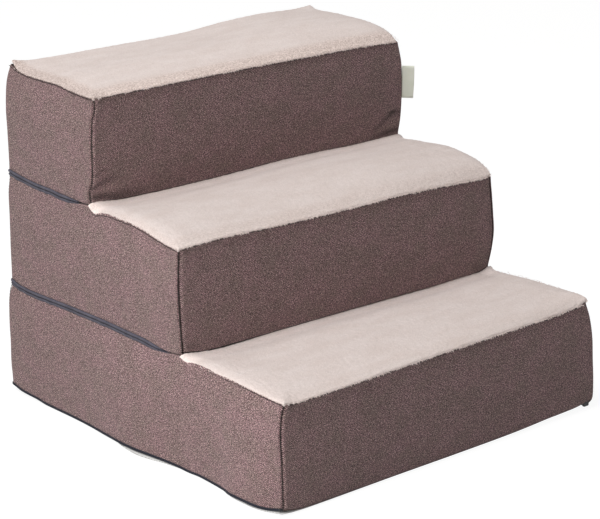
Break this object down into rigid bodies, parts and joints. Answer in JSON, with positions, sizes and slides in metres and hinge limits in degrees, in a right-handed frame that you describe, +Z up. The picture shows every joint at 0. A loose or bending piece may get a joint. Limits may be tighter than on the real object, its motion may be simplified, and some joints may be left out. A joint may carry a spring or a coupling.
{
  "type": "foam pet stairs",
  "caption": "Stuffed pet stairs with plush treads and a woven cover; the foam slabs zip together and fold forward on their front seams.",
  "frame": {"origin": "centre of the footprint, on the floor, at the underside of the grip cloth", "axes": "+Z up; +Y towards the tall rear end, -Y towards the risers; +X to the right for someone facing the risers"},
  "size_m": [0.4782, 0.478, 0.3832],
  "materials": {
    "woven_cover": "two-tone linen-look weave, plum brown with beige",
    "plush": "short pile plush, pale pinkish cream",
    "foam": "cut polyurethane foam, off-white",
    "lining": "plain grey lining cloth",
    "grip_cloth": "light grey cloth with rubber grip dots",
    "zip_tape": "slate woven zip tape",
    "zip_teeth": "dark slate nylon coil",
    "zip_metal": "black enamel",
    "label": "pale sage satin ribbon, bare",
    "seam_thread": "rolled cloth seam with matching thread"
  },
  "bodies": {
    "base_step": {"base_foam": "foam", "base_left_panel": "woven_cover", "base_right_panel": "woven_cover", "base_riser_panel": "woven_cover", "base_rear_panel": "woven_cover", "base_tread": "plush", "base_deck_lining": "lining", "base_fold_seam": "seam_thread", "middle_fold_seam": "seam_thread", "floor_zip_upper_tape": "zip_tape", "floor_zip_upper_teeth": "zip_teeth", "floor_zip_stops": "zip_metal", "middle_zip_lower_tape": "zip_tape", "middle_zip_lower_teeth": "zip_teeth", "middle_zip_stops": "zip_metal"},
    "middle_step": {"middle_foam": "foam", "middle_left_panel": "woven_cover", "middle_right_panel": "woven_cover", "middle_riser_panel": "woven_cover", "middle_rear_panel": "woven_cover", "middle_tread": "plush", "middle_deck_lining": "lining", "top_fold_seam": "seam_thread", "middle_zip_upper_tape": "zip_tape", "middle_zip_upper_teeth": "zip_teeth", "top_zip_lower_tape": "zip_tape", "top_zip_lower_teeth": "zip_teeth", "top_zip_stops": "zip_metal"},
    "top_step": {"top_foam": "foam", "top_left_panel": "woven_cover", "top_right_panel": "woven_cover", "top_riser_panel": "woven_cover", "top_rear_panel": "woven_cover", "top_tread": "plush", "side_label": "label", "top_zip_upper_tape": "zip_tape", "top_zip_upper_teeth": "zip_teeth"},
    "grip_flap": {"grip_panel": "grip_cloth", "floor_zip_lower_tape": "zip_tape", "floor_zip_lower_teeth": "zip_teeth"},
    "floor_slider": {"floor_zip_slider": "zip_metal"},
    "floor_pull": {"floor_zip_pull": "zip_metal"},
    "middle_slider": {"middle_zip_slider": "zip_metal"},
    "middle_pull": {"middle_zip_pull": "zip_metal"},
    "top_slider": {"top_zip_slider": "zip_metal"},
    "top_pull": {"top_zip_pull": "zip_metal"}
  },
  "joints": [
    {"name": "middle_fold", "type": "hinge", "parent": "base_step", "child": "middle_step", "pos_m": [0, -0.0775, 0.127], "axis": [1, 0, 0], "range_deg": [0, 76]},
    {"name": "top_fold", "type": "hinge", "parent": "middle_step", "child": "top_step", "pos_m": [0, 0.0775, 0.254], "axis": [1, 0, 0], "range_deg": [0, 76]},
    {"name": "grip_flap_fold", "type": "hinge", "parent": "base_step", "child": "grip_flap", "pos_m": [0, -0.2313, 0.0012], "axis": [-1, 0, 0], "range_deg": [0, 110]},
    {"name": "floor_zip_slide", "type": "slide", "parent": "base_step", "child": "floor_slider", "axis": [0, 1, 0], "range_m": [0, 0.43]},
    {"name": "floor_pull_swing", "type": "hinge", "parent": "floor_slider", "child": "floor_pull", "pos_m": [0.2281, -0.2184, 0.0036], "axis": [0, 0, -1], "range_deg": [0, 180]},
    {"name": "middle_zip_slide", "type": "slide", "parent": "base_step", "child": "middle_slider", "axis": [0, 1, 0], "range_m": [0, 0.26]},
    {"name": "middle_pull_swing", "type": "hinge", "parent": "middle_slider", "child": "middle_pull", "pos_m": [0.2281, -0.0454, 0.127], "axis": [0, 0, -1], "range_deg": [0, 180]},
    {"name": "top_zip_slide", "type": "slide", "parent": "middle_step", "child": "top_slider", "axis": [0, 1, 0], "range_m": [0, 0.105]},
    {"name": "top_pull_swing", "type": "hinge", "parent": "top_slider", "child": "top_pull", "pos_m": [0.2281, 0.1096, 0.254], "axis": [0, 0, -1], "range_deg": [0, 180]}
  ]
}
